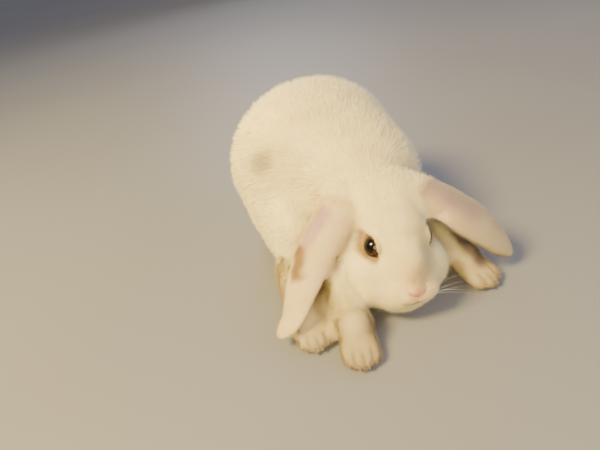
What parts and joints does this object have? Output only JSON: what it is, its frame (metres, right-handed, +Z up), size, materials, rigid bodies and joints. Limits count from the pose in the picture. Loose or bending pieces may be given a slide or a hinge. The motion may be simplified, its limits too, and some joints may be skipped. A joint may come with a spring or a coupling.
{
  "type": "lop rabbit, young, crouching",
  "caption": "Life-size still model of a young cream-white lop-eared rabbit crouching with its chin low, ears hanging over its feet.",
  "frame": {"origin": "on the floor under the middle of the whole animal, ears and feet included", "axes": "+Z up, the rabbit faces -Y, and its left side is +X"},
  "size_m": [0.168, 0.2424, 0.1172],
  "materials": {
    "coat": "short dense plush fur, creamy white",
    "ear_coat": "thin short fur over pink skin",
    "skin": "bare pink skin of the nose, lids and ear rims",
    "eye": "wet, near-black brown",
    "claw": "smooth horn",
    "whisker": "fine pale bristle"
  },
  "bodies": {
    "root": {"claw_forefoot_left_1": "claw", "claw_forefoot_left_2": "claw", "claw_forefoot_left_3": "claw", "claw_forefoot_left_4": "claw", "claw_forefoot_right_1": "claw", "claw_forefoot_right_2": "claw", "claw_forefoot_right_3": "claw", "claw_forefoot_right_4": "claw", "claw_hindfoot_left_1": "claw", "claw_hindfoot_left_2": "claw", "claw_hindfoot_left_3": "claw", "claw_hindfoot_left_4": "claw", "claw_hindfoot_right_1": "claw", "claw_hindfoot_right_2": "claw", "claw_hindfoot_right_3": "claw", "claw_hindfoot_right_4": "claw", "ear_left": "ear_coat", "ear_right": "ear_coat", "eye_left": "eye", "eye_right": "eye", "forefoot_left": "coat", "forefoot_right": "coat", "foreleg_left": "coat", "foreleg_right": "coat", "haunch_left": "coat", "haunch_right": "coat", "head": "coat", "hindfoot_left": "coat", "hindfoot_right": "coat", "neck": "coat", "tail": "coat", "trunk": "coat"}
  },
  "joints": []
}
